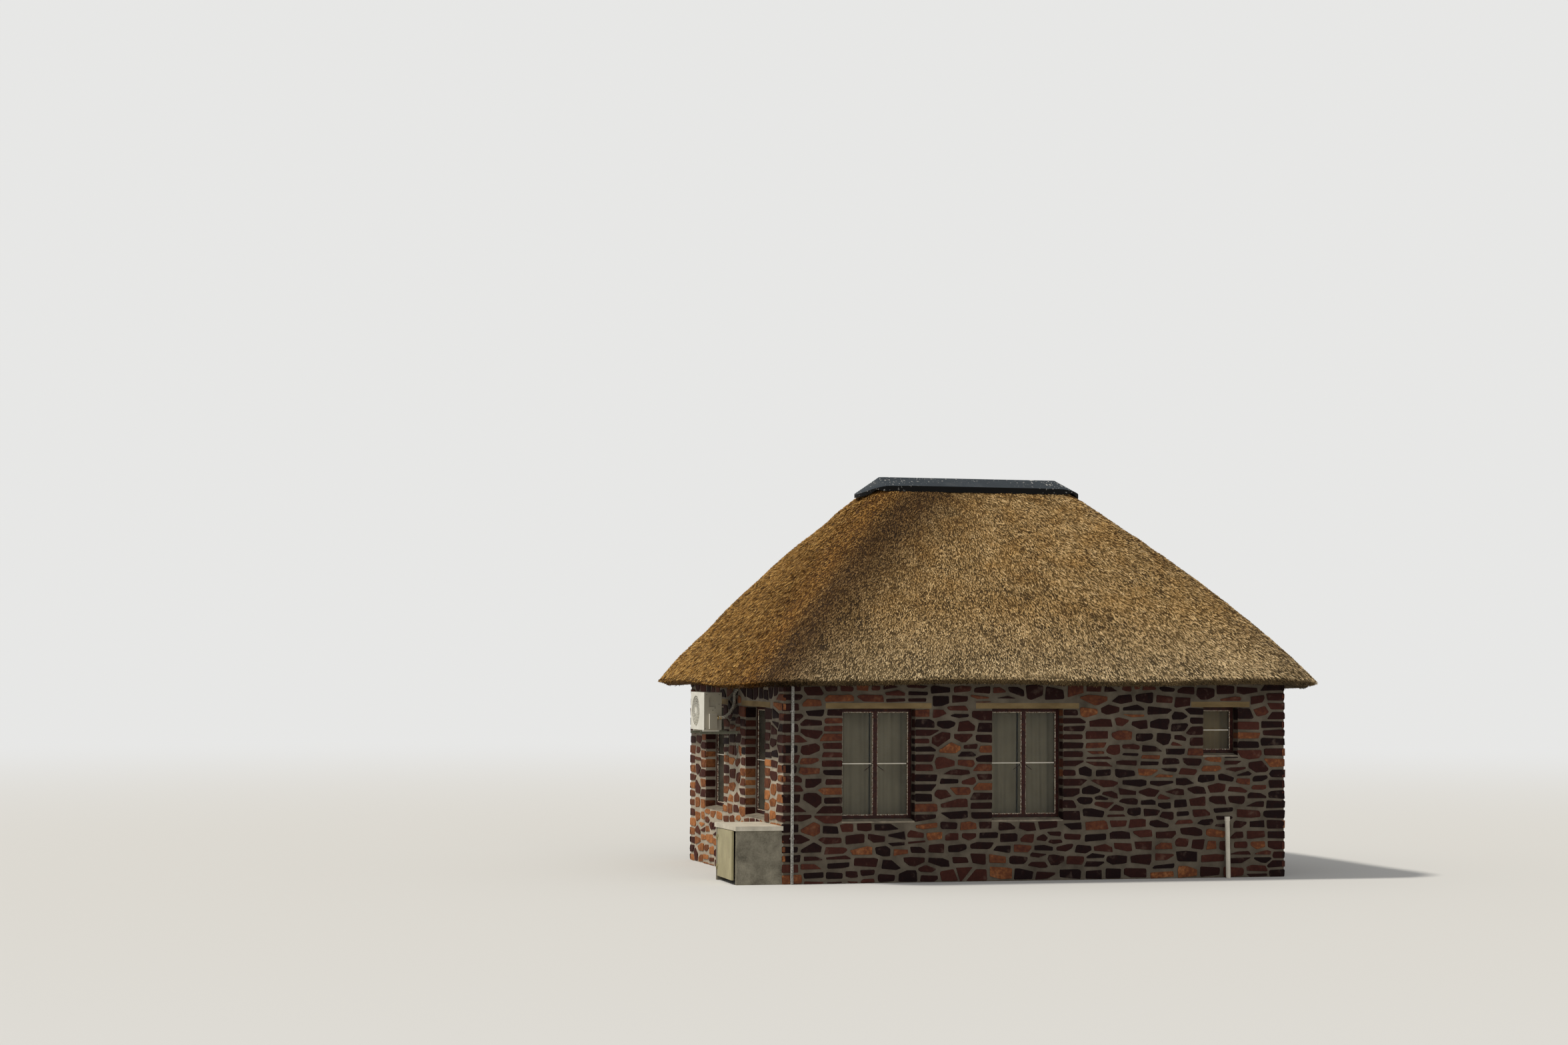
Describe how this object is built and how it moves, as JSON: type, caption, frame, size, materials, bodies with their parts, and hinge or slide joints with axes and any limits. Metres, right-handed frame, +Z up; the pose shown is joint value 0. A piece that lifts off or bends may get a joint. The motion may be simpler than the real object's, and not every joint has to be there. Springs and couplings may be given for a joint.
{
  "type": "thatched stone cottage",
  "caption": "Rubble stone cottage with a thatched, rounded hip roof, a dark ridge cap, steel windows, an outdoor cooling unit and a low locker.",
  "frame": {"origin": "centre of the plan at the foot of the walls, on the underside of the floor slab", "axes": "+X along the front wall to the right as seen from the front, +Y from the front wall to the back wall, +Z up"},
  "size_m": [8.5488, 6.12, 5.6238],
  "materials": {
    "rubble_stone": "rubble of dark red-brown stones in wide grey mortar",
    "floor_screed": "smooth concrete floor",
    "lintel_concrete": "bare precast concrete",
    "sill_mortar": "trowelled mortar",
    "window_steel": "dark red-brown oil paint on steel sections",
    "window_glass": "clear window glass",
    "curtain_cloth": "plain lined curtain cloth",
    "rail_wood": "varnished wood",
    "filling_mortar": "rough mortar",
    "pole_wood": "peeled gum poles",
    "thatch_reed": "packed thatching reed, weathered",
    "cap_mortar": "dark grey cement capping",
    "door_wood": "oiled boards",
    "casing_paint": "off-white powder coat, weathered",
    "bracket_paint": "off-white painted steel",
    "pipe_lagging": "grey foam lagging",
    "pipe_plastic": "weathered light grey plastic",
    "locker_masonry": "bagged masonry",
    "locker_concrete": "smooth pale concrete",
    "locker_steel": "cream paint on sheet steel"
  },
  "bodies": {
    "root": {"floor_slab": "floor_screed", "front_wall": "rubble_stone", "back_wall": "rubble_stone", "left_wall": "rubble_stone", "right_wall": "rubble_stone", "lintels": "lintel_concrete", "window_sills": "sill_mortar", "front_window_1": "window_steel", "front_window_2": "window_steel", "front_window_small": "window_steel", "left_window_near": "window_steel", "left_window_far": "window_steel", "back_window_left": "window_steel", "back_window_right": "window_steel", "right_window_small": "window_steel", "right_window_tall": "window_steel", "front_panes": "window_glass", "left_panes": "window_glass", "back_panes": "window_glass", "right_panes": "window_glass", "front_curtains": "curtain_cloth", "left_curtains": "curtain_cloth", "back_curtains": "curtain_cloth", "right_curtains": "curtain_cloth", "curtain_rails": "rail_wood", "wall_plates": "pole_wood", "beam_filling": "filling_mortar", "front_rafters": "pole_wood", "back_rafters": "pole_wood", "left_rafters": "pole_wood", "right_rafters": "pole_wood", "hip_poles": "pole_wood", "ridge_pole": "pole_wood", "thatch": "thatch_reed", "ridge_cap": "cap_mortar", "door_frame": "door_wood", "door_leaf": "door_wood", "aircon_casing": "casing_paint", "aircon_grille": "casing_paint", "aircon_bracket": "bracket_paint", "aircon_pipes": "pipe_lagging", "upright_pipe": "pipe_plastic", "short_pipe": "pipe_plastic", "locker_walls": "locker_masonry", "locker_top": "locker_concrete", "locker_hinges": "locker_steel"},
    "locker_door": {"locker_door": "locker_steel"}
  },
  "joints": [
    {"name": "locker_door_hinge", "type": "hinge", "parent": "root", "child": "locker_door", "pos_m": [-4.3, -1.495, 0.4], "axis": [0, 0, -1], "range_deg": [-3, 100]}
  ]
}
